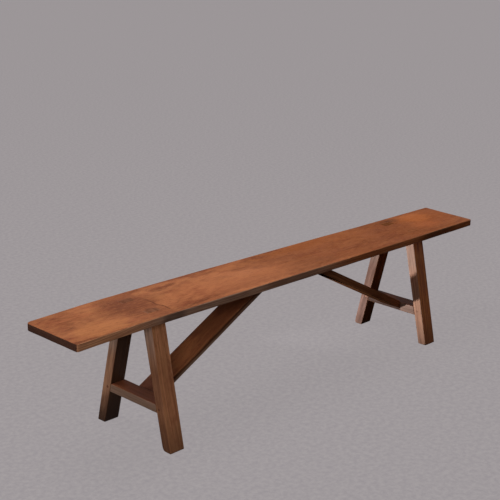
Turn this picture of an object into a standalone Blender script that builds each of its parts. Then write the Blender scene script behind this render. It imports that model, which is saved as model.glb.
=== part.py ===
# Kitchen bench: one long plank on two splayed trestles, each with a stretcher and a diagonal brace.
# The origin is on the floor under the middle of the bench. X runs along the seat, Y from front to back, Z up.
# All sizes are in metres. Left is -X, front is -Y.

import math

import bmesh
import bpy

# Seat plank
seat_height = 0.450
seat_length = 2.072
seat_width = 0.260
seat_thickness = 0.026
seat_arris = 0.0035
seat_end_skew = 0.018
left_front_corner = 0.009
left_back_corner = 0.016
right_front_corner = 0.009
right_back_corner = 0.006

# The long edges wander as on a hand-planed board: share of the edge's length, share of the seat's half width.
front_edge_shares = ((0.0, 1.045), (0.08, 0.992), (0.18, 0.966), (0.5, 0.992), (0.8, 1.004), (1.0, 0.985))
back_edge_shares = ((1.0, 0.900), (0.82, 0.916), (0.6, 0.973), (0.4, 1.008), (0.2, 1.023),
                    (0.12, 1.008), (0.05, 0.95), (0.0, 0.912))

# Trestles
left_overhang = 0.354
right_overhang = 0.339
leg_width = 0.061
leg_foot_reach = 0.1835
leg_top_reach = 0.0895
leg_foot_depth = 0.037
leg_top_depth = 0.042
leg_arris = 0.003

# Wedged tenon at the top of each leg
tenon_depth = 0.027
tenon_side_shoulder = 0.004
wedge_top_width = 0.005
wedge_tip_width = 0.0016
wedge_cover = 0.006
wedge_place_share = 0.25

# Stretcher between the two legs of a trestle
left_stretcher_underside = 0.1225
right_stretcher_underside = 0.114
left_stretcher_height = 0.030
right_stretcher_height = 0.035
stretcher_arris = 0.002
stretcher_tenon_height = 0.017
stretcher_tenon_width = 0.036
stretcher_tenon_wall = 0.010

# Diagonal brace from the stretcher to the seat. The tip is so far from the middle of the bench, and the upper
# face meets the stretcher so far above the stretcher's top.
brace_width = 0.093
left_brace_thickness = 0.0215
right_brace_thickness = 0.0275
left_brace_tip = 0.077
right_brace_tip = 0.083
left_brace_lift = -0.0085
right_brace_lift = 0.006
brace_arris = 0.002
brace_housing_depth = 0.006
brace_tenon_length = 0.026
brace_tenon_width = 0.060
brace_tenon_height = 0.010

# Pegs and nails
peg_diameter = 0.009
nail_shank_diameter = 0.0042
nail_head_diameter = 0.010
nail_head_height = 0.0016
nail_point_length = 0.006
nail_cover = 0.008
nail_tip_distance = 0.030
nail_spacing = 0.050

# Clearance between pieces that fit together, how far cutters overrun, and how deep joined solids overlap
fit_gap = 0.0003
overrun = 0.004
join_overlap = 0.004
weld_distance = 0.0001

flat_angle = math.radians(0.5)
smooth_angle = math.radians(35)
arris_angle = math.radians(50)
arris_segments = 3
peg_sides = 16
nail_sides = 12

# Sizes that follow from the ones above
half_length = seat_length / 2
half_width = seat_width / 2
seat_underside = seat_height - seat_thickness
tenon_width = leg_width - 2 * tenon_side_shoulder
left_trestle_x = left_overhang - half_length
right_trestle_x = half_length - right_overhang
peg_radius = peg_diameter / 2

trestles = (
    {"name": "left", "side": -1, "x": left_trestle_x,
     "low": left_stretcher_underside, "height": left_stretcher_height,
     "thickness": left_brace_thickness, "tip": left_brace_tip, "lift": left_brace_lift},
    {"name": "right", "side": 1, "x": right_trestle_x,
     "low": right_stretcher_underside, "height": right_stretcher_height,
     "thickness": right_brace_thickness, "tip": right_brace_tip, "lift": right_brace_lift},
)
leg_places = (("front", -1, 0.0), ("back", 1, math.pi))


def clear_scene():
    for old in list(bpy.data.objects):
        bpy.data.objects.remove(old, do_unlink=True)


def new_collection(name):
    collection = bpy.data.collections.new(name)
    bpy.context.scene.collection.children.link(collection)
    return collection


def wood(name, color, roughness):
    material = bpy.data.materials.new(name)
    material.use_nodes = True
    shader = material.node_tree.nodes["Principled BSDF"]
    shader.inputs["Base Color"].default_value = (*color, 1.0)
    shader.inputs["Roughness"].default_value = roughness
    shader.inputs["Metallic"].default_value = 0.0
    return material


def iron(name, color, roughness):
    material = wood(name, color, roughness)
    material.node_tree.nodes["Principled BSDF"].inputs["Metallic"].default_value = 1.0
    return material


def add_part(name, mesh, material, location=(0.0, 0.0, 0.0), rotation=(0.0, 0.0, 0.0)):
    part = bpy.data.objects.new(name, mesh)
    parts.objects.link(part)
    part.location = location
    part.rotation_euler = rotation
    if not mesh.materials:
        mesh.materials.append(None)
    part.material_slots[0].link = "OBJECT"
    part.material_slots[0].material = material
    return part


def add_cutter(name, mesh, location=(0.0, 0.0, 0.0), rotation=(0.0, 0.0, 0.0)):
    cutter = bpy.data.objects.new(name, mesh)
    cutters.objects.link(cutter)
    cutter.location = location
    cutter.rotation_euler = rotation
    cutter.hide_render = True
    cutter.display_type = "WIRE"
    return cutter


def boolean(part, tool, operation):
    modifier = part.modifiers.new(f"{operation.lower()} {tool.name}", "BOOLEAN")
    modifier.operation = operation
    modifier.solver = "EXACT"
    modifier.object = tool


def finish_mesh(bm, name):
    bmesh.ops.recalc_face_normals(bm, faces=bm.faces)
    mesh = bpy.data.meshes.new(name)
    bm.to_mesh(mesh)
    bm.free()
    return mesh


def tapered_box(name, low, high, arris=0.0):
    """A box whose bottom and top are two level rectangles, each given as x range, y range and height."""
    bm = bmesh.new()
    bmesh.ops.create_cube(bm, size=1.0)
    for vert in bm.verts:
        x_range, y_range, height = high if vert.co.z > 0 else low
        vert.co = (x_range[vert.co.x > 0], y_range[vert.co.y > 0], height)
    if arris > 0:
        long_edges = [edge for edge in bm.edges if edge.verts[0].co.z != edge.verts[1].co.z]
        bmesh.ops.bevel(bm, geom=long_edges, offset=arris, segments=arris_segments, profile=0.5,
                        affect="EDGES", material=-1)
    return finish_mesh(bm, name)


def box(name, x_range, y_range, z_range):
    return tapered_box(name, (x_range, y_range, z_range[0]), (x_range, y_range, z_range[1]))


def rod(name, radius, length, sides):
    """A round rod along Z, centred on the origin."""
    bm = bmesh.new()
    bmesh.ops.create_cone(bm, cap_ends=True, segments=sides, radius1=radius, radius2=radius, depth=length)
    mesh = finish_mesh(bm, name)
    mesh.shade_smooth()
    mesh.set_sharp_from_angle(angle=smooth_angle)
    return mesh


def plate(name, outline, thickness):
    """A flat board from its outline in the XY plane, half of its thickness on each side."""
    curve = bpy.data.curves.new(name, "CURVE")
    curve.dimensions = "2D"
    curve.fill_mode = "BOTH"
    curve.extrude = thickness / 2
    spline = curve.splines.new("POLY")
    spline.points.add(len(outline) - 1)
    for point, (x, y) in zip(spline.points, outline):
        point.co = (x, y, 0.0, 1.0)
    spline.use_cyclic_u = True
    source = bpy.data.objects.new(name, curve)
    cutters.objects.link(source)
    evaluated = source.evaluated_get(bpy.context.evaluated_depsgraph_get())
    mesh = bpy.data.meshes.new_from_object(evaluated)
    bpy.data.objects.remove(source, do_unlink=True)
    bm = bmesh.new()
    bm.from_mesh(mesh)
    bpy.data.meshes.remove(mesh)
    bmesh.ops.remove_doubles(bm, verts=bm.verts, dist=weld_distance)
    bmesh.ops.dissolve_limit(bm, angle_limit=flat_angle, verts=bm.verts, edges=bm.edges)
    return finish_mesh(bm, name)


def round_edges(mesh, picks, radius):
    """Round the edges of a mesh that the test picks."""
    bm = bmesh.new()
    bm.from_mesh(mesh)
    edges = [edge for edge in bm.edges if picks(edge)]
    bmesh.ops.bevel(bm, geom=edges, offset=radius, segments=arris_segments, profile=0.5,
                    affect="EDGES", material=-1)
    bm.to_mesh(mesh)
    bm.free()
    mesh.shade_smooth()
    mesh.set_sharp_from_angle(angle=smooth_angle)


# How far the outer and inner faces of a leg are from the middle plane of the bench, at a height

def leg_outer(height):
    return leg_foot_reach + (leg_top_reach - leg_foot_reach) * height / seat_underside


def leg_inner(height):
    depth = leg_foot_depth + (leg_top_depth - leg_foot_depth) * height / seat_underside
    return leg_outer(height) - depth


def leg_centre(height):
    return (leg_outer(height) + leg_inner(height)) / 2


def seat_outline():
    points = []
    for along, side in front_edge_shares:
        points.append((along * (seat_length - seat_end_skew) - half_length, -side * half_width))
    for along, side in back_edge_shares:
        points.append((along * seat_length - half_length, side * half_width))
    return points


def round_seat_corners(board):
    outline = seat_outline()
    front_points = len(front_edge_shares)
    corners = ((outline[0], left_front_corner), (outline[front_points - 1], right_front_corner),
               (outline[front_points], right_back_corner), (outline[-1], left_back_corner))
    for corner, radius in corners:
        round_edges(board, lambda edge: all(math.dist(vert.co.xy, corner) < weld_distance
                                            for vert in edge.verts), radius)


def make_seat():
    middle = (0.0, 0.0, seat_height - seat_thickness / 2)
    board = plate("seat_plank", seat_outline(), seat_thickness)
    round_seat_corners(board)
    seat = add_part("seat_plank", board, seat_wood, middle)
    bevel = seat.modifiers.new("worn arrises", "BEVEL")
    bevel.limit_method = "ANGLE"
    bevel.angle_limit = arris_angle
    bevel.width = seat_arris
    bevel.segments = arris_segments
    return seat


# The leg's meshes stand for the front leg. The back leg is the same mesh, turned round about the upright
# through the middle of the trestle.

def leg_body():
    half = leg_width / 2
    shoulder = seat_underside - fit_gap
    mesh = tapered_box("leg",
                       ((-half, half), (-leg_outer(0.0), -leg_inner(0.0)), 0.0),
                       ((-half, half), (-leg_outer(shoulder), -leg_inner(shoulder)), shoulder),
                       leg_arris)
    mesh.shade_smooth()
    mesh.set_sharp_from_angle(angle=smooth_angle)
    return mesh


def leaning_box(name, x_low, x_high, half_depth, low, high):
    """A box that leans with the leg, from one height to another, and may change its X range on the way."""
    return tapered_box(name,
                       (x_low, (-leg_centre(low) - half_depth, -leg_centre(low) + half_depth), low),
                       (x_high, (-leg_centre(high) - half_depth, -leg_centre(high) + half_depth), high))


def leg_tenon(grow, low, high):
    half = tenon_width / 2 + grow
    return leaning_box("leg tenon", (-half, half), (-half, half), tenon_depth / 2 + grow, low, high)


def wedge(grow, x, half_depth, low, high):
    """A wedge whose sides close in downwards, and the kerf that takes it, which is larger all round."""
    fall = (wedge_top_width - wedge_tip_width) / 2 / (seat_thickness - wedge_cover)
    tip_height = seat_underside + wedge_cover
    half_low = wedge_tip_width / 2 + fall * (low - tip_height) + grow
    half_high = wedge_tip_width / 2 + fall * (high - tip_height) + grow
    return leaning_box("wedge", (x - half_low, x + half_low), (x - half_high, x + half_high), half_depth,
                       low, high)


def make_leg(seat, name, turn, trestle_x):
    place = (trestle_x, 0.0, 0.0)
    turned = (0.0, 0.0, turn)
    leg = add_part(f"leg_{name}", leg_body(), leg_wood, place, turned)
    tenon_low = seat_underside - fit_gap - join_overlap
    tenon = add_cutter(f"tenon {name}", leg_tenon(0.0, tenon_low, seat_height), place, turned)
    boolean(leg, tenon, "UNION")
    mortise = add_cutter(f"mortise {name}",
                         leg_tenon(fit_gap, seat_underside - overrun, seat_height + overrun), place, turned)
    boolean(seat, mortise, "DIFFERENCE")
    tip_height = seat_underside + wedge_cover
    for end, side in (("outer", math.copysign(1, trestle_x)), ("inner", -math.copysign(1, trestle_x))):
        # The back leg is turned half round, so the side is too.
        x = side * wedge_place_share * tenon_width * math.cos(turn)
        kerf = add_cutter(f"kerf {name} {end}",
                          wedge(fit_gap, x, tenon_depth, tip_height - fit_gap, seat_height + overrun),
                          place, turned)
        boolean(leg, kerf, "DIFFERENCE")
        add_part(f"wedge_{name}_{end}", wedge(0.0, x, tenon_depth / 2, tip_height, seat_height),
                 wedge_wood, place, turned)
    return leg


def stretcher_top(trestle):
    return trestle["low"] + trestle["height"]


def stretcher_middle(trestle):
    return trestle["low"] + trestle["height"] / 2


def make_stretcher(trestle):
    half = leg_width / 2
    levels = trestle["low"], stretcher_top(trestle)
    ends = [(-leg_inner(level) + fit_gap, leg_inner(level) - fit_gap) for level in levels]
    mesh = tapered_box("stretcher", ((-half, half), ends[0], levels[0]), ((-half, half), ends[1], levels[1]))
    round_edges(mesh, lambda edge: abs(edge.verts[0].co.x - edge.verts[1].co.x) < weld_distance
                and edge.verts[0].co.y * edge.verts[1].co.y < 0, stretcher_arris)
    return add_part(f"stretcher_{trestle['name']}", mesh, stretcher_wood, (trestle["x"], 0.0, 0.0))


# The stretcher's tenon ends inside the leg, with a wall left in front of it.

def stretcher_tenon_end(trestle):
    return leg_outer(stretcher_middle(trestle) + stretcher_tenon_height / 2) - stretcher_tenon_wall


def join_stretcher(stretcher, leg, name, front, trestle):
    half_width_x = stretcher_tenon_width / 2
    half_height = stretcher_tenon_height / 2
    middle = stretcher_middle(trestle)
    inner_face = leg_inner(stretcher_top(trestle))
    end = stretcher_tenon_end(trestle)

    def tenon_box(grow, start):
        y_range = sorted((front * start, front * (end + grow)))
        return box("stretcher tenon", (-half_width_x - grow, half_width_x + grow), y_range,
                   (middle - half_height - grow, middle + half_height + grow))

    place = (trestle["x"], 0.0, 0.0)
    tenon = add_cutter(f"stretcher tenon {name}", tenon_box(0.0, inner_face - join_overlap), place)
    boolean(stretcher, tenon, "UNION")
    mortise = add_cutter(f"stretcher mortise {name}", tenon_box(fit_gap, inner_face - overrun), place)
    boolean(leg, mortise, "DIFFERENCE")

    along_x = (0.0, math.pi / 2, 0.0)
    peg_place = (trestle["x"], front * (leg_inner(middle) + end) / 2, middle)
    hole = add_cutter(f"peg hole {name}",
                      rod("peg hole", peg_radius + fit_gap, leg_width + 2 * overrun, peg_sides),
                      peg_place, along_x)
    boolean(leg, hole, "DIFFERENCE")
    boolean(stretcher, hole, "DIFFERENCE")
    add_part(f"stretcher_peg_{name}", rod("stretcher peg", peg_radius, leg_width, peg_sides), peg_wood,
             peg_place, along_x)


# The brace is drawn in its own plane: distance from the middle of the bench, and height. Its foot stands
# against the stretcher's inner face, and its lower face meets the seat's underside at the tip.

def brace_foot(trestle):
    return abs(trestle["x"]) - leg_width / 2 - fit_gap


def brace_foot_top(trestle):
    return stretcher_top(trestle) + trestle["lift"]


def brace_angle(trestle):
    run = brace_foot(trestle) - trestle["tip"]
    rise = seat_underside - brace_foot_top(trestle)
    return math.atan2(rise, run) + math.asin(trestle["thickness"] / math.hypot(run, rise))


def brace_outline(trestle, grow):
    foot = brace_foot(trestle)
    angle = brace_angle(trestle)
    slope = math.tan(angle)
    ceiling = seat_underside + brace_housing_depth - fit_gap + grow
    end = trestle["tip"] - grow
    foot_top = brace_foot_top(trestle) + grow / math.cos(angle)
    foot_low = brace_foot_top(trestle) - (trestle["thickness"] + grow) / math.cos(angle)
    points = [(foot, foot_low), (end, foot_low + (foot - end) * slope), (end, ceiling),
              (foot - (ceiling - foot_top) / slope, ceiling), (foot, foot_top)]
    return [(trestle["side"] * u, height) for u, height in points]


def runs_up_the_slope(edge):
    span = edge.verts[1].co - edge.verts[0].co
    return abs(span.x) > weld_distance and abs(span.y) > weld_distance


def make_brace(seat, stretcher, trestle):
    name = trestle["name"]
    upright = (math.pi / 2, 0.0, 0.0)
    board = plate("brace", brace_outline(trestle, 0.0), brace_width)
    round_edges(board, runs_up_the_slope, brace_arris)
    brace = add_part(f"brace_{name}", board, brace_wood, (0.0, 0.0, 0.0), upright)
    housing = add_cutter(f"housing {name}",
                         plate("housing", brace_outline(trestle, fit_gap), brace_width + 2 * fit_gap),
                         (0.0, 0.0, 0.0), upright)
    boolean(seat, housing, "DIFFERENCE")
    join_brace(brace, stretcher, trestle)
    for place_name, place_side in (("front", -1), ("back", 1)):
        drive_nail(brace, seat, f"{name}_{place_name}", place_side * nail_spacing / 2, trestle)


# The brace has a level stub tenon in the stretcher, and an upright peg goes through both.

def join_brace(brace, stretcher, trestle):
    name, side, foot = trestle["name"], trestle["side"], brace_foot(trestle)
    tenon_middle = brace_foot_top(trestle) - trestle["thickness"] / math.cos(brace_angle(trestle)) / 2

    def tenon_box(grow, start):
        x_range = sorted((side * start, side * (foot + brace_tenon_length + grow)))
        half_y = brace_tenon_width / 2 + grow
        half_z = brace_tenon_height / 2 + grow
        return box("brace tenon", x_range, (-half_y, half_y), (tenon_middle - half_z, tenon_middle + half_z))

    tenon = add_cutter(f"brace tenon {name}", tenon_box(0.0, foot - join_overlap))
    boolean(brace, tenon, "UNION")
    mortise = add_cutter(f"brace mortise {name}", tenon_box(fit_gap, foot - overrun))
    boolean(stretcher, mortise, "DIFFERENCE")

    place = (side * (foot + brace_tenon_length / 2), 0.0, stretcher_middle(trestle))
    hole_mesh = rod("brace peg hole", peg_radius + fit_gap, trestle["height"] + 2 * overrun, peg_sides)
    hole = add_cutter(f"brace peg hole {name}", hole_mesh, place)
    boolean(stretcher, hole, "DIFFERENCE")
    boolean(brace, hole, "DIFFERENCE")
    add_part(f"brace_peg_{name}", rod("brace peg", peg_radius, trestle["height"], peg_sides), peg_wood, place)


# A nail goes square to the brace's lower face near its tip, up into the seat.

def drive_nail(brace, seat, name, y, trestle):
    side, angle = trestle["side"], brace_angle(trestle)
    start = (side * (trestle["tip"] + nail_tip_distance * math.cos(angle)), y,
             seat_underside - nail_tip_distance * math.sin(angle))
    pointing = (0.0, math.pi + side * angle, 0.0)
    nail_length = (seat_height - nail_cover - start[2]) / math.cos(angle)
    hole_length = nail_length + fit_gap + overrun
    hole_middle = nail_length + fit_gap - hole_length / 2
    centre = (start[0] + side * math.sin(angle) * hole_middle, y, start[2] + math.cos(angle) * hole_middle)
    hole_mesh = rod("nail hole", nail_shank_diameter / 2 + fit_gap, hole_length, nail_sides)
    hole = add_cutter(f"nail hole {name}", hole_mesh, centre, pointing)
    boolean(brace, hole, "DIFFERENCE")
    boolean(seat, hole, "DIFFERENCE")
    nail = add_part(f"nail_{name}", nail_profile(nail_length), nail_iron, start, pointing)
    screw = nail.modifiers.new("turn", "SCREW")
    screw.steps = nail_sides
    screw.render_steps = nail_sides
    screw.use_merge_vertices = True
    screw.merge_threshold = weld_distance


def nail_profile(length):
    """Half the outline of a nail along Z: head above the origin, point below, read down its outer side."""
    shank = nail_shank_diameter / 2
    head = nail_head_diameter / 2
    outline = ((0.0, fit_gap + nail_head_height), (head / 2, fit_gap + nail_head_height),
               (head, fit_gap + nail_head_height / 2), (head, fit_gap), (shank, fit_gap),
               (shank, nail_point_length - length), (0.0, -length))
    bm = bmesh.new()
    verts = [bm.verts.new((x, 0.0, z)) for x, z in outline]
    for upper, lower in zip(verts, verts[1:]):
        bm.edges.new((upper, lower))
    mesh = bpy.data.meshes.new("nail")
    bm.to_mesh(mesh)
    bm.free()
    return mesh


clear_scene()
parts = new_collection("kitchen bench")
cutters = new_collection("cutters")

seat_wood = wood("seat wood", (0.255, 0.105, 0.045), 0.45)
leg_wood = wood("leg wood", (0.155, 0.064, 0.030), 0.55)
stretcher_wood = wood("stretcher wood", (0.150, 0.070, 0.038), 0.60)
brace_wood = wood("brace wood", (0.105, 0.040, 0.018), 0.60)
wedge_wood = wood("wedge wood", (0.110, 0.050, 0.026), 0.60)
peg_wood = wood("peg wood", (0.120, 0.052, 0.026), 0.60)
nail_iron = iron("nail iron", (0.060, 0.052, 0.048), 0.60)

seat_plank = make_seat()
for trestle_here in trestles:
    stretcher_part = make_stretcher(trestle_here)
    for place_name, front_side, leg_turn in leg_places:
        leg_name = f"{place_name}_{trestle_here['name']}"
        leg_part = make_leg(seat_plank, leg_name, leg_turn, trestle_here["x"])
        join_stretcher(stretcher_part, leg_part, leg_name, front_side, trestle_here)
    make_brace(seat_plank, stretcher_part, trestle_here)
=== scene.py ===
# Looks of the kitchen bench: hand-planed wood, worn arrises, wedged tenons, soft studio light.
# Metres, Z up, X along the seat. Left is -X, front is -Y.

import math

import bmesh
import bpy
from mathutils import Euler, Matrix, Vector, noise


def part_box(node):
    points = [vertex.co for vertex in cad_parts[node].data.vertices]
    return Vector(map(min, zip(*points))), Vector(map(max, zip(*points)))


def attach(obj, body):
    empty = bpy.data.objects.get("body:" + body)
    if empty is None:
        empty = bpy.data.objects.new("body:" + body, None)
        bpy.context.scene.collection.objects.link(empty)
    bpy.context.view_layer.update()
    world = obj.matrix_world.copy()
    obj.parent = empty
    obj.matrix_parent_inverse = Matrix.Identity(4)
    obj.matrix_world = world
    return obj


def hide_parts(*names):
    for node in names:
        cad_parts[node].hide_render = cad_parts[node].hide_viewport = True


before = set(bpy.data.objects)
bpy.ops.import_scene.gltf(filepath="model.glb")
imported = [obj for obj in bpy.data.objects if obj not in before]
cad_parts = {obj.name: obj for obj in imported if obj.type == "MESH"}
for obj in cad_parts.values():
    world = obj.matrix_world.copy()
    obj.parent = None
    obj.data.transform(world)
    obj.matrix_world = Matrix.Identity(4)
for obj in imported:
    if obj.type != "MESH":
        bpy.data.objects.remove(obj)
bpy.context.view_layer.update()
print("frame loaded:", len(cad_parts), "nodes")

seatLow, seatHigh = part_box("seat_plank")
seatTop = seatHigh.z
seatUnderside = seatLow.z
fitGap = 0.0003  # Between pieces that touch
cutPast = 0.01  # How far a cutter reaches beyond the face that it cuts
tenonRoot = 0.006  # How far a tenon starts inside its own board
tiny = 1e-5
quarterTurn = math.pi / 2


def paint(red, green, blue):
    # A colour as a screen shows it, 0 to 255, turned into the linear values that shaders take
    def linear(value):
        share = value / 255
        return share / 12.92 if share <= 0.04045 else ((share + 0.055) / 1.055) ** 2.4
    return (linear(red), linear(green), linear(blue), 1.0)


def between(low, high, share):
    return low + (high - low) * share


def smooth(low, high, value):
    share = min(1.0, max(0.0, (value - low) / (high - low)))
    return share * share * (3 - 2 * share)


def addObject(name, data):
    made = bpy.data.objects.new(name, data)
    bpy.context.scene.collection.objects.link(made)
    return made


# Camera: the photograph's viewing angle

camera = {
    "place": (-2.9724, -2.6681, 1.7049),
    "azimuth": math.radians(46.372),
    "down": math.radians(16.879),
    "roll": math.radians(-1.241),
    "lens": 83.58,
    "sensor": 36.0,
}


def makeCamera():
    azimuth, down, roll = camera["azimuth"], camera["down"], camera["roll"]
    forward = Vector((math.sin(azimuth) * math.cos(down), math.cos(azimuth) * math.cos(down), -math.sin(down)))
    right = forward.cross(Vector((0, 0, 1))).normalized()
    below = forward.cross(right)
    turnedRight = right * math.cos(roll) + below * math.sin(roll)
    turnedBelow = below * math.cos(roll) - right * math.sin(roll)
    data = bpy.data.cameras.new("camera")
    data.lens = camera["lens"]
    data.sensor_width = camera["sensor"]
    made = addObject("camera", data)
    turn = Matrix((turnedRight, -turnedBelow, -forward)).transposed()
    made.matrix_world = Matrix.Translation(camera["place"]) @ turn.to_4x4()
    bpy.context.scene.camera = made


makeCamera()
print("camera placed")


# Mesh tools

arrisSegments = 3
barSegments = 16
squareTurn = 1.0  # Radians. Only a box's own edges turn further.
rubReach = 1.6  # How far in from the edge an arris is rubbed, in radii
smoothUpTo = math.radians(40)
seedStep = (7.31, 3.17, -5.53)


def plainBox(size=(1.0, 1.0, 1.0)):
    # A box round the origin
    bm = bmesh.new()
    bmesh.ops.create_cube(bm, size=1.0)
    bmesh.ops.scale(bm, vec=size, verts=bm.verts)
    return bm


def fineBox(size, step, arris):
    # The same, cut into cells of about that step, with rounded arrises
    bm = plainBox(size)
    for axis in range(3):
        cuts = round(size[axis] / step[axis]) - 1
        along = [edge for edge in bm.edges if abs(edge.verts[0].co[axis] - edge.verts[1].co[axis]) > tiny]
        if cuts > 0:
            bmesh.ops.subdivide_edges(bm, edges=along, cuts=cuts, use_grid_fill=True)
    corners = [edge for edge in bm.edges if edge.calc_face_angle(0.0) > squareTurn]
    bmesh.ops.bevel(bm, geom=corners, offset=arris, segments=arrisSegments, profile=0.5, affect="EDGES",
                    material=-1)
    return bm


def wearArris(point, half, radius):
    # Pulls a point of a box in onto an arris of that radius. The second value is 1 on the arris and 0 off it.
    core = Vector([max(radius - h, min(h - radius, p)) for p, h in zip(point, half)])
    out = point - core
    if out.length <= radius:
        worn = point
    else:
        worn = core + out * (radius / out.length)
    sides = sorted(h - abs(p) for p, h in zip(point, half))
    return worn, 1 - smooth(0.0, radius * rubReach, sides[1])


def wearBoard(point, half, corner, radius):
    # The same for a board whose corner, seen from above, is rounded by its own larger radius
    flat = Vector((point.x, point.y))
    core = Vector([max(corner - h, min(h - corner, p)) for p, h in zip(flat, half)])
    out = flat - core
    if out.length < tiny:
        return point.copy(), 0.0
    outward = out.normalized()
    inset = max(0.0, corner - out.length)
    depth = half.z - abs(point.z)
    over = Vector((max(0.0, radius - inset), max(0.0, radius - depth)))
    if over.x > 0 and over.y > 0 and over.length > radius:
        kept = over * (radius / over.length)
        inset, depth = radius - kept.x, radius - kept.y
    flat = core + outward * (corner - inset)
    worn = Vector((flat.x, flat.y, math.copysign(half.z - depth, point.z)))
    return worn, 1 - smooth(0.0, radius * rubReach, max(inset, depth))


def wobble(point, waves, seed):
    # A smooth chance value from 0 to 1, which changes with about that many waves a metre along each axis
    place = [value * wave + seed * step for value, wave, step in zip(point, waves, seedStep)]
    return 0.5 + 0.5 * noise.noise(Vector(place))


def meshObject(name, bm):
    mesh = bpy.data.meshes.new(name)
    bm.to_mesh(mesh)
    bm.free()
    return addObject(name, mesh)


def addPiece(name, bm, nodes):
    piece = meshObject(name, bm)
    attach(piece, "root")
    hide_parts(*nodes)
    return piece


def around(middle, half):
    return (middle - half, middle + half)


def join(bm):
    return ("UNION", meshObject("helper", bm))


def cut(bm):
    return ("DIFFERENCE", meshObject("helper", bm))


def shapeWith(piece, steps):
    # Joins and cuts a piece with its helpers in that order, removes them, and shades what is left
    for operation, helper in steps:
        modifier = piece.modifiers.new(operation.lower(), "BOOLEAN")
        modifier.operation = operation
        modifier.solver = "EXACT"
        modifier.object = helper
    evaluated = piece.evaluated_get(bpy.context.evaluated_depsgraph_get())
    shaped = bpy.data.meshes.new_from_object(evaluated)
    piece.modifiers.clear()
    piece.data = shaped
    for operation, helper in steps:
        bpy.data.objects.remove(helper, do_unlink=True)
    shaped.shade_smooth()
    shaped.set_sharp_from_angle(angle=smoothUpTo)
    return piece


def block(xRange, yRange, zRange):
    bm = plainBox()
    for vert in bm.verts:
        vert.co = Vector((between(*xRange, vert.co.x + 0.5), between(*yRange, vert.co.y + 0.5),
                          between(*zRange, vert.co.z + 0.5)))
    return bm


def roundBar(radius, length, centre, turn):
    bm = bmesh.new()
    place = Matrix.Translation(centre) @ turn.to_matrix().to_4x4()
    bmesh.ops.create_cone(bm, cap_ends=True, segments=barSegments, radius1=radius, radius2=radius, depth=length,
                          matrix=place)
    return bm


# Joinery shared by the pieces, as the solids have it

leg = {
    "width": 0.061,
    "footReach": 0.1835,
    "topReach": 0.0895,
    "footDepth": 0.037,
    "topDepth": 0.042,
    "seed": 31,
    "cell": (0.006, 0.006, 0.007),
    "cutArris": 0.003,
    "arris": 0.0016,
    "arrisWear": 0.002,
    "arrisWaves": (20, 20, 9),
    "footWear": 0.0015,
    "footHeight": 0.05,
    "chips": {"front left": ((-1, 1, 0.006),), "back right": ((1, -1, 0.005),),
              "front right": ((-1, -1, 0.005),)},
    "chipSpread": 2.2,
    "topSpared": 0.05,
    "planed": 0.006,
    "planedWaves": (9, 9, 7),
    "adzed": 0.005,
    "adzedWaves": (26, 26, 16),
    "tenonWidth": 0.053,
    "tenonDepth": 0.027,
    "wedgeTop": 0.005,
    "wedgeTip": 0.0016,
    "wedgeCover": 0.006,
    "wedgeShare": 0.25,
}
stretcher = {
    "seed": 21,
    "cell": (0.006, 0.006, 0.006),
    "arris": 0.0025,
    "arrisWear": 0.002,
    "arrisWaves": (8, 14, 20),
    "planedSides": 0.0006,
    "planedTop": 0.0004,
    "planedWaves": (11, 30, 5),
    "tenonHeight": 0.017,
    "tenonWidth": 0.036,
    "tenonWall": 0.010,
}
brace = {
    "width": 0.093,
    "seed": 11,
    "cell": (0.007, 0.007, 0.006),
    "arris": 0.0016,
    "arrisWear": 0.0015,
    "arrisWaves": (10, 8, 20),
    "sawn": 0.0003,
    "sawnWaves": (14, 22, 30),
    "planedEdge": 0.0007,
    "edgeWaves": (6, 9, 1),
    "tenonLength": 0.026,
    "tenonWidth": 0.060,
    "tenonHeight": 0.010,
    "housing": 0.006,
    "sawnOff": 4,  # In thicknesses, over both ends
}
peg = {"radius": 0.0045, "uprightHole": 0.06, "levelHole": 0.1}
trestles = {
    "left": {"side": -1, "x": -0.682, "braceThickness": 0.0215, "braceTip": 0.077, "braceLift": -0.0085},
    "right": {"side": 1, "x": 0.697, "braceThickness": 0.0275, "braceTip": 0.083, "braceLift": 0.006},
}
for trestleName, trestlePlace in trestles.items():
    trestlePlace["low"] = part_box(f"stretcher_{trestleName}")[0].z
    trestlePlace["high"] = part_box(f"stretcher_{trestleName}")[1].z
    trestlePlace["middle"] = (trestlePlace["low"] + trestlePlace["high"]) / 2


def legOuter(height):
    return between(leg["footReach"], leg["topReach"], height / seatUnderside)


def legDepth(height):
    return between(leg["footDepth"], leg["topDepth"], height / seatUnderside)


def legInner(height):
    return legOuter(height) - legDepth(height)


def legCentre(height):
    return legOuter(height) - legDepth(height) / 2


def stretcherTenonEnd(trestle):
    return legOuter(trestle["middle"] + stretcher["tenonHeight"] / 2) - stretcher["tenonWall"]


def leaningBlock(xLow, xHigh, halfDepth, low, high):
    # A block that leans with the front leg, and may change its width on the way up
    bm = plainBox()
    for vert in bm.verts:
        height = high if vert.co.z > 0 else low
        xRange = xHigh if vert.co.z > 0 else xLow
        y = math.copysign(halfDepth, vert.co.y) - legCentre(height)
        vert.co = Vector((xRange[vert.co.x > 0], y, height))
    return bm


def stand(bm, back, x):
    # Puts what is made for the front leg in its place, turned half round for the back leg
    turn = Matrix.Rotation(math.pi if back else 0.0, 4, "Z")
    bmesh.ops.transform(bm, matrix=Matrix.Translation((x, 0, 0)) @ turn, verts=bm.verts)
    return bm


def pegHole(middle, level=False):
    # A cutter, upright for the brace's peg or level for the leg's
    turn = Euler((0, quarterTurn if level else 0, 0))
    return roundBar(peg["radius"] + fitGap, peg["levelHole" if level else "uprightHole"], middle, turn)


# Seat

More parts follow.
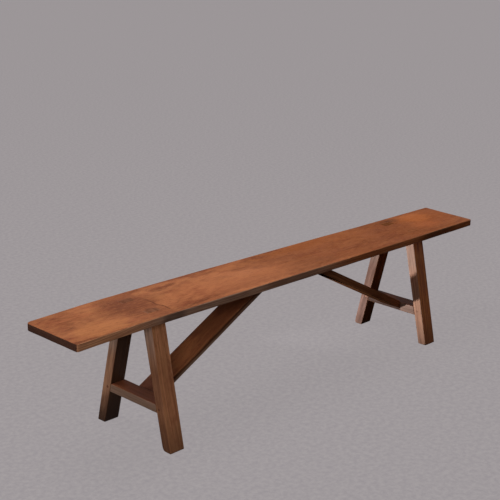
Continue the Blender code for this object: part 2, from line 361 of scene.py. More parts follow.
seat = {
    "length": 2.072,
    "width": 0.260,
    "endSkew": 0.018,
    "corners": {"left back": 0.016, "left front": 0.009, "right front": 0.009, "right back": 0.006},
    "cell": (0.006, 0.006, 0.0065),
    "frontShares": ((0.0, 1.045), (0.08, 0.992), (0.18, 0.966), (0.5, 0.992), (0.8, 1.004), (1.0, 0.985)),
    "backShares": ((0.0, 0.912), (0.05, 0.95), (0.12, 1.008), (0.2, 1.023), (0.4, 1.008), (0.6, 0.973),
                   (0.82, 0.916), (1.0, 0.900)),
    "arris": 0.002,
    "arrisWear": 0.0022,
    "arrisWaves": (9, 6, 20),
    "endSpared": 0.8,
    "endReach": 0.02,
    "hollow": 0.0007,
    "hollowShare": 0.7,
    "hollowWaves": (3.1, 14, 1),
    "rippleShare": 0.3,
    "rippleWaves": (16, 30, 1),
    "undersideWaves": (11, 19, 1),
    "planedEdge": 0.0006,
    "edgeShare": 0.97,
    "edgeWaves": (12, 40, 1),
    "dents": ((-0.93, -0.118, 0.012, 0.0012), (-0.31, -0.122, 0.010, 0.0010), (0.22, -0.124, 0.014, 0.0012),
              (0.55, -0.119, 0.010, 0.0010), (-0.15, 0.05, 0.016, 0.0005), (0.40, -0.03, 0.012, 0.0005),
              (0.90, 0.02, 0.015, 0.0005), (-0.52, -0.02, 0.013, 0.0005), (0.83, 0.100, 0.012, 0.0011)),
}


def edgeShare(table, along):
    # Reads a table of edge places as one smooth line through its points
    last = len(table) - 1
    start = max(i for i in range(last) if table[i][0] <= along or i == 0)
    (x0, y0), (x1, y1) = table[start], table[start + 1]
    before, after = table[max(start - 1, 0)], table[min(start + 2, last)]
    span = x1 - x0
    slope0 = (y1 - before[1]) / (x1 - before[0])
    slope1 = (after[1] - y0) / (after[0] - x0)
    t = (along - x0) / span
    rise = (2 * t ** 3 - 3 * t ** 2 + 1) * y0 + (3 * t ** 2 - 2 * t ** 3) * y1
    return rise + ((t ** 3 - 2 * t ** 2 + t) * slope0 + (t ** 3 - t ** 2) * slope1) * span


def makeSeat():
    thickness = seatTop - seatUnderside
    size = Vector((seat["length"], seat["width"], thickness))
    half = size / 2
    bm = fineBox(size, seat["cell"], seat["arris"])
    rub = bm.verts.layers.float.new("rub")
    for vert in bm.verts:
        x, y, z = vert.co
        roam = wobble((x, y, z), seat["arrisWaves"], 1)
        radius = seat["arris"] + seat["arrisWear"] * roam ** 2
        corner = seat["corners"][f"{'left' if x < 0 else 'right'} {'front' if y < 0 else 'back'}"]
        worn, rubbed = wearBoard(vert.co, half, corner, min(radius, corner))
        vert[rub] = rubbed * (1 - seat["endSpared"] * smooth(half.x - seat["endReach"], half.x, abs(x)))
        along = (worn.x + half.x) / seat["length"]
        side = worn.y / half.y
        front = -edgeShare(seat["frontShares"], along) * half.y
        back = edgeShare(seat["backShares"], along) * half.y
        place = Vector((0, between(front, back, (side + 1) / 2), seatTop - half.z + worn.z))
        place.x = along * (seat["length"] - seat["endSkew"] * (1 - side) / 2) - half.x
        if z > 0:
            hollow = seat["hollowShare"] * wobble((x, y, 0), seat["hollowWaves"], 2)
            ripple = seat["rippleShare"] * wobble((x, y, 0), seat["rippleWaves"], 3)
            place.z -= seat["hollow"] * (hollow + ripple) * smooth(-half.z, half.z, z)
        else:
            ripple = wobble((x, y, 4), seat["undersideWaves"], 4)
            place.z += seat["hollow"] * ripple * smooth(half.z, -half.z, z)
        planed = wobble((x, z, 2), seat["edgeWaves"], 5)
        nearEdge = smooth(half.y * seat["edgeShare"], half.y, abs(y))
        place.y -= math.copysign(seat["planedEdge"], y) * planed * nearEdge
        for dentX, dentY, reach, depth in seat["dents"]:
            near = math.hypot(place.x - dentX, place.y - dentY) / reach
            if near < 1 and z > 0:
                place.z -= depth * (1 - near * near) ** 2
        vert.co = place
    piece = addPiece("seatBoard", bm, ["seat_plank"])
    steps = []
    for name, trestle in trestles.items():
        for back in (False, True):
            halfWidth, halfDepth = leg["tenonWidth"] / 2 + fitGap, leg["tenonDepth"] / 2 + fitGap
            mortise = leaningBlock(around(0, halfWidth), around(0, halfWidth), halfDepth,
                                   seatUnderside - cutPast, seatTop + cutPast)
            steps.append(cut(stand(mortise, back, trestle["x"])))
        steps.append(cut(braceBoard(trestle, fitGap, False)))
        steps += nailHoles(trestle)
    return shapeWith(piece, steps)


# Braces

def braceFoot(trestle):
    return abs(trestle["x"]) - leg["width"] / 2 - fitGap


def braceFootTop(trestle):
    return trestle["high"] + trestle["braceLift"]


def braceAngle(trestle):
    run = braceFoot(trestle) - trestle["braceTip"]
    rise = seatUnderside - braceFootTop(trestle)
    return math.atan2(rise, run) + math.asin(trestle["braceThickness"] / math.hypot(run, rise))


def braceTenonMiddle(trestle):
    return braceFootTop(trestle) - trestle["braceThickness"] / math.cos(braceAngle(trestle)) / 2


def cutFlat(bm, point, normal):
    # Saws off what lies beyond a plane and closes the cut
    sawn = bmesh.ops.bisect_plane(bm, geom=bm.verts[:] + bm.edges[:] + bm.faces[:], dist=tiny, plane_co=point,
                                  plane_no=normal, clear_outer=True)
    rim = [item for item in sawn["geom_cut"] if isinstance(item, bmesh.types.BMEdge)]
    bmesh.ops.edgeloop_fill(bm, edges=rim)


def braceBoard(trestle, grow, worn):
    # The board lies along its slope first. Its ends are then sawn: upright at the foot, level at the seat, and
    # upright again at the tip.
    side = trestle["side"]
    foot, tip, angle = braceFoot(trestle), trestle["braceTip"], braceAngle(trestle)
    thickness = trestle["braceThickness"] + 2 * grow
    width = brace["width"] + 2 * grow
    length = (foot - tip) / math.cos(angle) + brace["sawnOff"] * thickness
    size = Vector((length, width, thickness))
    if worn:
        bm = fineBox(size, brace["cell"], brace["arris"])
        rub = bm.verts.layers.float.new("rub")
        seed = brace["seed"] + side
        for vert in bm.verts:
            x, y, z = vert.co
            roam = wobble((x, y, z), brace["arrisWaves"], seed)
            vert.co, vert[rub] = wearArris(vert.co, size / 2, brace["arris"] + brace["arrisWear"] * roam ** 2)
            sawn = wobble((x, y, z), brace["sawnWaves"], seed + 4)
            planed = wobble((x, z, 3), brace["edgeWaves"], seed + 9)
            vert.co.z -= math.copysign(brace["sawn"], z) * sawn
            vert.co.y -= math.copysign(brace["planedEdge"], y) * planed
    else:
        bm = plainBox(size)
    middle = Vector(((foot + tip) / 2, 0, 0))
    middle.z = braceTenonMiddle(trestle) + (foot - middle.x) * math.tan(angle)
    place = Matrix.Translation(middle) @ Matrix.Rotation(angle, 4, "Y")
    bmesh.ops.transform(bm, matrix=place, verts=bm.verts)
    cutFlat(bm, Vector((foot + grow, 0, 0)), Vector((1, 0, 0)))
    cutFlat(bm, Vector((0, 0, seatUnderside + brace["housing"] - fitGap + grow)), Vector((0, 0, 1)))
    cutFlat(bm, Vector((tip - grow, 0, 0)), Vector((-1, 0, 0)))
    if side < 0:
        bmesh.ops.scale(bm, vec=(-1, 1, 1), verts=bm.verts)
        bmesh.ops.reverse_faces(bm, faces=bm.faces)
    return bm


def makeBrace(name, trestle):
    side, foot, tenonMiddle = trestle["side"], braceFoot(trestle), braceTenonMiddle(trestle)
    board = braceBoard(trestle, 0.0, True)
    piece = addPiece(f"brace{name.capitalize()}", board, [f"brace_{name}"])
    tenon = block(sorted((side * (foot - tenonRoot), side * (foot + brace["tenonLength"]))),
                  around(0, brace["tenonWidth"] / 2), around(tenonMiddle, brace["tenonHeight"] / 2))
    pegMiddle = Vector((side * (foot + brace["tenonLength"] / 2), 0, tenonMiddle))
    return shapeWith(piece, [join(tenon), cut(pegHole(pegMiddle)), *nailHoles(trestle)])


nail = {"shank": 0.0042, "tipDistance": 0.030, "spacing": 0.050, "cover": 0.008, "startBelow": 0.004}


def nailHoles(trestle):
    # Clearance for the two nails that go up through the brace's lower face into the seat
    side, tip, angle = trestle["side"], trestle["braceTip"], braceAngle(trestle)
    away = nail["tipDistance"]
    start = Vector((side * (tip + away * math.cos(angle)), 0, seatUnderside - away * math.sin(angle)))
    length = (seatTop - nail["cover"] - start.z) / math.cos(angle) + fitGap + nail["startBelow"]
    pointing = Vector((side * math.sin(angle), 0, math.cos(angle)))
    centre = start + pointing * (length / 2 - nail["startBelow"])
    holes = []
    for front in (-1, 1):
        centre.y = front * nail["spacing"] / 2
        holes.append(cut(roundBar(nail["shank"] / 2 + fitGap, length, centre, Euler((0, side * angle, 0)))))
    return holes


# Stretchers

def makeStretcher(name, trestle):
    low, high = trestle["low"], trestle["high"]
    height = high - low
    reach = legInner(low) - fitGap
    size = Vector((leg["width"], 2 * reach, height))
    bm = fineBox(size, stretcher["cell"], stretcher["arris"])
    rub = bm.verts.layers.float.new("rub")
    seed = stretcher["seed"] + trestle["side"]
    for vert in bm.verts:
        x, y, z = vert.co
        roam = wobble((x, y, z), stretcher["arrisWaves"], seed)
        long = Vector((size.x, size.y * 2, size.z)) / 2  # Its ends stand against the legs and stay sharp
        worn, vert[rub] = wearArris(vert.co, long, stretcher["arris"] + stretcher["arrisWear"] * roam ** 2)
        level = between(low, high, worn.z / height + 0.5)
        squeeze = (legInner(level) - fitGap) / reach
        planed = wobble((y, z, x), stretcher["planedWaves"], seed + 5)
        worn.x -= math.copysign(stretcher["planedSides"], x) * planed
        level -= math.copysign(stretcher["planedTop"], z) * planed
        vert.co = Vector((trestle["x"] + worn.x, worn.y * squeeze, level))
    piece = addPiece(f"stretcher{name.capitalize()}", bm, [f"stretcher_{name}"])
    middle, tenonEnd = trestle["middle"], stretcherTenonEnd(trestle)
    start = legInner(high) - tenonRoot
    steps = []
    for front in (-1, 1):
        tenon = block(around(trestle["x"], stretcher["tenonWidth"] / 2),
                      sorted((front * start, front * tenonEnd)), around(middle, stretcher["tenonHeight"] / 2))
        steps.append(join(tenon))
    for front in (-1, 1):
        pegMiddle = Vector((trestle["x"], front * (legInner(middle) + tenonEnd) / 2, middle))
        steps.append(cut(pegHole(pegMiddle, level=True)))
    side, foot, tenonMiddle = trestle["side"], braceFoot(trestle), braceTenonMiddle(trestle)
    mortise = block(sorted((side * (foot - cutPast), side * (foot + brace["tenonLength"] + fitGap))),
                    around(0, brace["tenonWidth"] / 2 + fitGap),
                    around(tenonMiddle, brace["tenonHeight"] / 2 + fitGap))
    bracePeg = Vector((side * (foot + brace["tenonLength"] / 2), 0, middle))
    steps += [cut(mortise), cut(pegHole(bracePeg))]
    return shapeWith(piece, steps)


# Legs

def makeLeg(place, name, trestle, seed):
    back = place == "back"
    height = seatUnderside - fitGap
    size = Vector((leg["width"], leg["topDepth"], height))
    half = size / 2
    bm = fineBox(size, leg["cell"], leg["cutArris"])
    rub = bm.verts.layers.float.new("rub")
    for vert in bm.verts:
        x, y, z = vert.co
        roam = wobble((x, y, z), leg["arrisWaves"], seed)
        foot = 1 - smooth(0.0, leg["footHeight"], z + half.z)
        radius = leg["arris"] + leg["arrisWear"] * roam ** 2 + leg["footWear"] * foot
        for sideX, sideY, reach in leg["chips"].get(f"{place} {name}", ()):
            away = Vector((half.x * sideX, half.y * sideY, -half.z)) - vert.co
            radius += reach * (1 - smooth(0.0, leg["chipSpread"] * reach, away.length))
        # The top stays sharp under the seat
        tall = Vector((half.x, half.y, half.z + (0.0 if z < 0 else leg["topSpared"])))
        worn, vert[rub] = wearArris(vert.co, tall, radius)
        level = worn.z + half.z
        planed = leg["planed"] * wobble((x, y, z), leg["planedWaves"], seed + 6)
        adzed = leg["adzed"] * wobble((x, y, z), leg["adzedWaves"], seed + 7)
        shrink = 1 - (planed + adzed)
        y = -legCentre(level) + worn.y * shrink * legDepth(level) / leg["topDepth"]
        vert.co = Vector((worn.x * shrink, y, level))
    stand(bm, back, trestle["x"])
    label = f"leg{place.capitalize()}{name.capitalize()}"
    piece = addPiece(label, bm, [f"leg_{place}_{name}"])

    across = around(0, leg["tenonWidth"] / 2)
    tenon = leaningBlock(across, across, leg["tenonDepth"] / 2, height - tenonRoot, seatTop - fitGap / 2)
    steps = [join(stand(tenon, back, trestle["x"]))]
    tip = seatUnderside + leg["wedgeCover"]
    fall = (leg["wedgeTop"] - leg["wedgeTip"]) / 2 / (seatTop - tip)
    for sign in (-1, 1):
        middle = sign * leg["wedgeShare"] * leg["tenonWidth"]
        low = leg["wedgeTip"] / 2 + fitGap
        high = low + fall * (seatTop + cutPast - tip)
        kerf = leaningBlock(around(middle, low), around(middle, high), leg["tenonDepth"], tip - fitGap,
                            seatTop + cutPast)
        steps.append(cut(stand(kerf, back, trestle["x"])))
    middle, tenonEnd = trestle["middle"], stretcherTenonEnd(trestle)
    mortise = block(around(0, stretcher["tenonWidth"] / 2 + fitGap),
                    (-tenonEnd - fitGap, cutPast - legInner(trestle["high"])),
                    around(middle, stretcher["tenonHeight"] / 2 + fitGap))
    steps.append(cut(stand(mortise, back, trestle["x"])))
    pegMiddle = Vector((0, -(legInner(middle) + tenonEnd) / 2, middle))
    steps.append(cut(stand(pegHole(pegMiddle, level=True), back, trestle["x"])))
    return shapeWith(piece, steps)


pieces = {"seat": makeSeat()}
print("seat made:", len(pieces["seat"].data.polygons), "faces")
for trestleName, trestlePlace in trestles.items():
    pieces[f"stretcher {trestleName}"] = makeStretcher(trestleName, trestlePlace)
    pieces[f"brace {trestleName}"] = makeBrace(trestleName, trestlePlace)
    for number, legPlace in enumerate(("front", "back")):
        legSeed = leg["seed"] + number * 9 + trestlePlace["side"] * 3
        pieces[f"leg {legPlace} {trestleName}"] = makeLeg(legPlace, trestleName, trestlePlace, legSeed)
    print("trestle made:", trestleName)


# Materials

def feed(tree, node, values):
    # Gives inputs of a node their values or links
    for socket, value in values.items():
        if isinstance(value, bpy.types.NodeSocket):
            tree.links.new(value, node.inputs[socket])
        else:
            node.inputs[socket].default_value = value


def addNode(tree, kind, values=None, **settings):
    made = tree.nodes.new(kind)
    for key, value in settings.items():
        setattr(made, key, value)
    feed(tree, made, values or {})
    return made


def sums(tree, operation, first, second=0.0, third=0.0):
    return addNode(tree, "ShaderNodeMath", {0: first, 1: second, 2: third}, operation=operation).outputs[0]


def times(tree, first, second):
    return sums(tree, "MULTIPLY", first, second)


def vectors(tree, operation, first, second=(0.0, 0.0, 0.0)):
    outputs = addNode(tree, "ShaderNodeVectorMath", {0: first, 1: second}, operation=operation).outputs
    return outputs["Value" if operation in ("LENGTH", "DOT_PRODUCT") else "Vector"]


def spread(tree, value, low, high, toLow=0.0, toHigh=1.0):
    values = {"Value": value, "From Min": low, "From Max": high, "To Min": toLow, "To Max": toHigh}
    return addNode(tree, "ShaderNodeMapRange", values, interpolation_type="SMOOTHSTEP").outputs[0]


def grainNoise(tree, point, waves, detail, roughness):
    # Waves a metre along each axis
    stretched = vectors(tree, "MULTIPLY", point, waves)
    values = {"Vector": stretched, "Scale": 1.0, "Detail": detail, "Roughness": roughness}
    return addNode(tree, "ShaderNodeTexNoise", values).outputs["Fac"]


def blend(tree, share, first, second):
    return addNode(tree, "ShaderNodeMix", {0: share, 6: first, 7: second}, data_type="RGBA").outputs[2]


def soften(tree, point, centre, size):
    # 1 at a place and less away from it, over that size along each axis
    away = vectors(tree, "SUBTRACT", point, centre)
    reach = vectors(tree, "LENGTH", vectors(tree, "DIVIDE", away, size))
    return sums(tree, "EXPONENT", times(tree, times(tree, reach, reach), -1.0))


woodLook = {
    "light": paint(177, 110, 73),
    "dark": paint(135, 77, 51),
    "blush": paint(140, 74, 51),
    "gold": paint(185, 121, 77),
    "line": paint(86, 46, 30),
    "rubbed": paint(176, 124, 88),
    "deepDark": paint(46, 29, 20),
    "endGrain": paint(74, 52, 43),
    "pith": (0.03, -0.10),
    "ringSpacing": 0.0075,
    "wander": 0.010,
    "blushAmount": 0.55,
    "cloudAmount": 0.3,
    "goldAmount": 0.45,
    "lineAmount": 0.30,
    "streakAmount": 1.3,  # In lineAmounts
    "rubAmount": 0.35,
    "endAmount": 0.85,
    "footDarkening": 0.0,
    "footDarkeningFade": (0.10, -0.05),
    "footDarkeningRagged": -0.10,
    "specular": 0.1,
    "roughness": (0.44, 0.62),
    "rubSmoother": -0.08,
    "endRougher": 0.2,
    "bump": 0.0005,
    "bumpStrength": 0.8,
    "fibreAmount": 0.2,
    "fleckAmount": 0.3,
    "poreAmount": 0.3,
    "knots": (),
    "knotPower": 3.0,
    "stainsAndShade": (),
    "stainRagged": 0.9,
    "scores": (),
}
# Waves a metre, detail and roughness of each noise. Those of the rings follow them, the others the board.
ringNoises = {
    "bands": ((2.2, 110.0, 6.0), 3.0, 0.6),
    "streaks": ((6.5, 330.0, 30.0), 2.0, 0.6),
}
boardNoises = {
    "mottle": ((15.0, 38.0, 38.0), 4.0, 0.62),
    "clouds": ((3.0, 9.0, 9.0), 3.0, 0.55),
    "fibres": ((14.0, 520.0, 520.0), 2.0, 0.6),
    "flecks": ((38.0, 140.0, 140.0), 3.0, 0.65),
    "pores": ((42.0, 1300.0, 1300.0), 1.0, 0.5),
    "rubs": ((14.0, 30.0, 30.0), 3.0, 0.5),
}
ringSway = {"slow": ((1.6, 5.0, 5.0), 1.0, 0.5), "quick": ((8.0, 26.0, 26.0), 2.0, 0.5)}
swayShares = {"slow": 3, "quick": 0.4}
faceTurn = (0.45, 0.75)  # Cosines at which the shade of a face starts and is full
endTurn = (0.75, 0.95)
# Where each pattern starts to show and is full, and perhaps how much of it shows at both
showing = {
    "bands": (0.34, 0.64),
    "late": (0.3, 1.0),
    "lines": (0.35, 0.6, 0.25, 1.0),
    "pores": (0.60, 0.72),
    "stainsAndShade": (0.15, 0.75),
    "scoreStain": (0.75, 0.35),
    "washes": (0.35, 0.65),
    "washedMottle": (0.45, 0.7, 0.0, 0.5),
    "rubs": (0.35, 0.6),
    "roughness": (0.3, 0.7),
}
relief = {"fibres": 0.5, "late": 0.2, "pores": -0.45, "mottle": 0.6}


def newMaterial(name):
    material = bpy.data.materials.new(name)
    material.use_nodes = True
    tree = material.node_tree
    return material, tree, tree.nodes["Principled BSDF"]


def wood(name, look, place, along, sides=()):
    # The wood of one board. Place is a point in it, along the way that its grain runs, and sides are set out as
    # in faceShadesAndPaintedLight.
    look = {**woodLook, **look}
    material, tree, shader = newMaterial(name)
    source = addNode(tree, "ShaderNodeTexCoord")
    turn = Vector(along).to_track_quat("X", "Z").to_euler()
    values = {"Vector": source.outputs["Object"], "Location": place, "Rotation": tuple(turn)}
    point = addNode(tree, "ShaderNodeMapping", values, vector_type="TEXTURE").outputs[0]

    # Growth rings round a pith outside the board, which wander along it and close round the knots
    fromPith = vectors(tree, "SUBTRACT", point, (0.0, look["pith"][0], look["pith"][1]))
    flat = vectors(tree, "MULTIPLY", fromPith, (0.0, 1.0, 1.0))
    rings = vectors(tree, "LENGTH", flat)
    sways = {}
    for key, values in ringSway.items():
        sways[key] = sums(tree, "SUBTRACT", grainNoise(tree, point, *values), 0.5)
        rings = sums(tree, "MULTIPLY_ADD", sways[key], look["wander"] * swayShares[key], rings)
    knotCore = None
    for centre, size, lift, depth in look["knots"]:
        near = soften(tree, point, centre, size)
        rings = sums(tree, "MULTIPLY_ADD", near, lift, rings)
        core = times(tree, sums(tree, "POWER", near, look["knotPower"]), depth)
        knotCore = core if knotCore is None else sums(tree, "MAXIMUM", knotCore, core)
    wave = sums(tree, "SINE", times(tree, rings, math.tau / look["ringSpacing"]))
    late = spread(tree, wave, *showing["late"])

    apart = addNode(tree, "ShaderNodeSeparateXYZ", {0: point})
    alongBoard, acrossBoard, throughBoard = apart.outputs
    ringed = addNode(tree, "ShaderNodeCombineXYZ", {0: alongBoard, 1: rings, 2: throughBoard}).outputs[0]
    noises = {key: grainNoise(tree, ringed, *values) for key, values in ringNoises.items()}
    noises.update({key: grainNoise(tree, point, *values) for key, values in boardNoises.items()})
    mottle, clouds, streaks = noises["mottle"], noises["clouds"], noises["streaks"]
    noises["pores"] = spread(tree, noises["pores"], *showing["pores"])
    noises["late"] = late

    # Layers of colour: which noise shows each, where it starts and is full, how much of it shows, and its shade
    def lay(color, layers):
        for key, start, full, amount, shade in layers:
            color = blend(tree, spread(tree, noises[key], start, full, 0.0, amount), color, look[shade])
        return color

    color = blend(tree, spread(tree, noises["bands"], *showing["bands"]), look["dark"], look["light"])
    color = lay(color, (("mottle", 0.46, 0.70, look["goldAmount"], "gold"),
                        ("mottle", 0.50, 0.28, look["blushAmount"], "blush"),
                        ("clouds", 0.52, 0.72, look["cloudAmount"], "blush"),
                        ("streaks", 0.50, 0.74, look["streakAmount"] * look["lineAmount"], "line")))
    lines = times(tree, late, spread(tree, clouds, *showing["lines"]))
    color = blend(tree, times(tree, lines, look["lineAmount"]), color, look["line"])
    color = lay(color, (("fibres", 0.5, 0.75, look["fibreAmount"], "line"),))
    color = blend(tree, times(tree, noises["pores"], look["poreAmount"]), color, look["deepDark"])
    for centre, size, tint, amount in look["stainsAndShade"]:
        near = soften(tree, point, centre, size)
        ragged = sums(tree, "MULTIPLY_ADD", sums(tree, "SUBTRACT", mottle, 0.5), look["stainRagged"], near)
        color = blend(tree, spread(tree, ragged, *showing["stainsAndShade"], 0.0, amount), color, tint)
    for score in look["scores"]:
        # A score across the board: a dark line between two places of Y, and a darker stretch that ends at it
        swayed = sums(tree, "MULTIPLY_ADD", sways["quick"], score["sway"], alongBoard)
        away = sums(tree, "SUBTRACT", swayed, score["x"])
        ragged = sums(tree, "MULTIPLY_ADD", mottle, score["ragged"], acrossBoard)
        fade = score["fade"]
        held = times(tree, spread(tree, ragged, score["low"] - fade, score["low"] + fade),
                     spread(tree, ragged, score["high"] + fade, score["high"] - fade))
        darker = times(tree, spread(tree, away, *score["stainEdge"]), spread(tree, away, *score["stainTail"]))
        darker = times(tree, darker, spread(tree, mottle, *showing["scoreStain"], *score["stainAmounts"]))
        color = blend(tree, darker, color, score["tint"])
        line = times(tree, spread(tree, sums(tree, "ABSOLUTE", away), *score["line"]), held)
        color = blend(tree, times(tree, line, score["amount"]), color, look["line"])
    color = lay(color, (("flecks", 0.50, 0.68, look["fleckAmount"], "gold"),
                        ("flecks", 0.48, 0.32, look["fleckAmount"], "line")))
    if knotCore is not None:
        color = blend(tree, knotCore, color, look["line"])

    # Shades of single faces, which also stand in for some of the light in the photograph
    facing = source.outputs["Normal"]
    benchAxes = addNode(tree, "ShaderNodeSeparateXYZ", {0: source.outputs["Object"]}).outputs
    axes = (*benchAxes, alongBoard, acrossBoard, throughBoard)
    for way, light, dark, amount, *stretches in sides:
        turned = vectors(tree, "DOT_PRODUCT", facing, way)
        share = spread(tree, turned, *faceTurn, 0.0, amount)
        for axis, start, full, *fading in stretches:
            share = times(tree, share, spread(tree, axes[axis], start, full))
            if fading:
                share = times(tree, share, spread(tree, axes[axis], fading[1], fading[0]))
        washed = blend(tree, spread(tree, streaks, *showing["washes"]), paint(*light), paint(*dark))
        washed = blend(tree, spread(tree, mottle, *showing["washedMottle"]), washed, paint(*dark))
        color = blend(tree, share, color, washed)

    # End grain, where the face looks along the grain
    ahead = vectors(tree, "DOT_PRODUCT", facing, tuple(Vector(along).normalized()))
    end = spread(tree, sums(tree, "ABSOLUTE", ahead), *endTurn)
    color = blend(tree, times(tree, end, look["endAmount"]), color, look["endGrain"])

    rub = addNode(tree, "ShaderNodeAttribute", attribute_name="rub", attribute_type="GEOMETRY").outputs["Fac"]
    patchy = spread(tree, noises["rubs"], *showing["rubs"])
    rubbed = times(tree, rub, times(tree, patchy, look["rubAmount"]))
    color = blend(tree, rubbed, color, look["rubbed"])
    # Darker towards the bottom, with a ragged edge
    if look["footDarkening"] > 0:
        lowDarkening = sums(tree, "MULTIPLY_ADD", mottle, look["footDarkeningRagged"], benchAxes[2])
        lowDarkening = spread(tree, lowDarkening, *look["footDarkeningFade"], 0.0, look["footDarkening"])
        color = blend(tree, lowDarkening, color, look["deepDark"])

    rough = spread(tree, clouds, *showing["roughness"], *look["roughness"])
    rough = sums(tree, "MULTIPLY_ADD", rub, look["rubSmoother"], rough)
    rough = sums(tree, "MULTIPLY_ADD", end, look["endRougher"], rough)

    height = 0.0
    for key, amount in relief.items():
        height = sums(tree, "MULTIPLY_ADD", noises[key], amount, height)
    values = {"Height": height, "Distance": look["bump"], "Strength": look["bumpStrength"]}
    bump = addNode(tree, "ShaderNodeBump", values).outputs[0]
    feed(tree, shader, {"Base Color": color, "Specular IOR Level": look["specular"], "Roughness": rough,
                        "Normal": bump})
    return material


ironLook = {"clean": paint(58, 52, 48), "rust": paint(96, 58, 38), "noise": ((260.0, 260.0, 260.0), 4.0, 0.6),
            "patches": (0.42, 0.6), "roughness": (0.3, 0.7, 0.45, 0.8), "metallic": 0.6, "bump": 0.0003,
            "bumpStrength": 0.7}


def iron(name):
    material, tree, shader = newMaterial(name)
    point = addNode(tree, "ShaderNodeTexCoord").outputs["Object"]
    rust = grainNoise(tree, point, *ironLook["noise"])
    color = blend(tree, spread(tree, rust, *ironLook["patches"]), ironLook["clean"], ironLook["rust"])
    rough = spread(tree, rust, *ironLook["roughness"])
    values = {"Height": rust, "Distance": ironLook["bump"], "Strength": ironLook["bumpStrength"]}
    bump = addNode(tree, "ShaderNodeBump", values).outputs[0]
    feed(tree, shader, {"Base Color": color, "Roughness": rough, "Metallic": ironLook["metallic"],
                        "Normal": bump})
    return material


def dress(piece, material):
    piece.data.materials.clear()
    piece.data.materials.append(material)


# Marks on the seat's top, by their place and reach in X and Y. A knot has the lift that it gives the rings and
# its darkness, and a stain its shade and amount.
seatKnots = (
    ((-0.685, -0.046), (0.020, 0.016), 0.012, 0.7),
    ((-0.530, 0.078), (0.034, 0.018), 0.020, 0.35),
    ((-0.468, 0.088), (0.022, 0.012), 0.012, 0.3),
    ((-0.767, 0.068), (0.016, 0.012), 0.010, 0.45),
    ((-0.732, 0.056), (0.012, 0.010), 0.008, 0.4),
    ((-0.613, 0.118), (0.030, 0.010), 0.008, 0.4),
    ((0.731, 0.089), (0.038, 0.016), 0.012, 0.6),
    ((0.650, 0.086), (0.018, 0.008), 0.008, 0.35),
)
seatStainsAndShade = (
    ((-0.74, 0.06), (0.060, 0.05), (108, 60, 44), 0.5),
    ((-0.69, 0.00), (0.060, 0.12), (122, 70, 50), 0.4),
    ((-0.90, -0.08), (0.11, 0.06), (182, 116, 72), 0.6),
    ((0.62, 0.03), (0.13, 0.09), (112, 56, 34), 0.4),
    ((0.90, 0.02), (0.16, 0.12), (194, 108, 60), 0.4),
    # Over the right half: partly the wood's tone, partly painted shade where the top's sheen falls off
    ((0.55, 0.02), (0.60, 0.30), (156, 84, 44), 0.42),
    ((0.00, 0.04), (0.14, 0.05), (150, 89, 57), 0.6),
    ((-0.15, 0.078), (0.10, 0.025), (174, 108, 70), 0.7),
    ((0.86, 0.05), (0.08, 0.06), (214, 122, 64), 0.42),
    ((0.82, -0.04), (0.07, 0.04), (196, 110, 66), 0.4),
    ((0.72, 0.085), (0.06, 0.022), (104, 62, 36), 0.5),
    ((0.57, 0.10), (0.10, 0.022), (128, 74, 46), 0.55),
    ((0.56, -0.06), (0.07, 0.045), (124, 64, 40), 0.45),
    ((0.03, -0.07), (0.18, 0.06), (132, 76, 47), 0.6),
    ((-0.25, -0.04), (0.26, 0.12), (196, 122, 82), 0.45),
    ((0.30, 0.09), (0.34, 0.05), (168, 97, 54), 0.5),
)


def atSeatTop(centre, reach, depth=0.1):
    return (*centre, seatTop), (*reach, depth)


pegShades = {"left": paint(122, 82, 62), "right": paint(128, 94, 78)}
wedgeShades = {"left": paint(96, 58, 40), "right": paint(130, 76, 44)}
leftward, rightward, upward = (-1.0, 0.0, 0.0), (1.0, 0.0, 0.0), (0.0, 0.0, 1.0)
frontward, backward = (0.0, -1.0, 0.0), (0.0, 1.0, 0.0)
leftUpward, leftDownward = (-0.45, 0.0, 0.9), (-0.4, 0.0, -0.9)
benchX, benchY, benchZ, boardZ = 0, 1, 2, 5  # Axes of the bench, and the one through the board
everyLeg = {"endGrain": paint(108, 64, 44), "footDarkening": 0.5, "lineAmount": 0.12, "fleckAmount": 0.2}
looks = {
    "seat": {
        "endGrain": paint(61, 45, 41),
        "specular": 0.03,
        "ringSpacing": 0.017,
        "wander": 0.015,
        "lineAmount": 0.34,
        "knots": [(*atSeatTop(centre, reach, 0.05), *rest) for centre, reach, *rest in seatKnots],
        "stainsAndShade": [(*atSeatTop(centre, reach), paint(*tint), share)
                   for centre, reach, tint, share in seatStainsAndShade],
        "scores": ({"x": -0.630, "sway": 0.025, "low": -0.070, "high": 0.055, "fade": 0.02, "ragged": 0.04,
                    "line": (0.004, 0.001), "amount": 0.8, "tint": paint(126, 72, 50),
                    "stainEdge": (0.005, -0.003), "stainTail": (-0.23, -0.03), "stainAmounts": (0.3, 0.55)},),
    },
    # Painted light in part: the front legs lighter, the back right leg and the right stretcher darker
    "leg front left": {"light": paint(222, 151, 107), "dark": paint(185, 119, 81), "gold": paint(218, 153, 103),
                       "line": paint(118, 72, 48), "poreAmount": 0.12},
    "leg back left": {"footDarkening": 0.85},
    "leg front right": {"light": paint(198, 116, 63), "dark": paint(151, 80, 41), "gold": paint(200, 126, 69),
                        "endGrain": paint(150, 86, 50)},
    "leg back right": {"light": paint(160, 96, 60), "dark": paint(120, 66, 40), "endGrain": paint(112, 67, 38),
                       "specular": 0.0},
    "stretcher left": {"light": paint(158, 92, 66), "rubAmount": 0.15},
    "stretcher right": {"light": paint(150, 88, 60), "dark": paint(112, 64, 42), "rubAmount": 0.15},
    "brace left": {"light": paint(196, 120, 76), "dark": paint(152, 86, 54), "specular": 0.06},
    "brace right": {"light": paint(176, 106, 62), "dark": paint(134, 74, 42), "specular": 0.0},
}
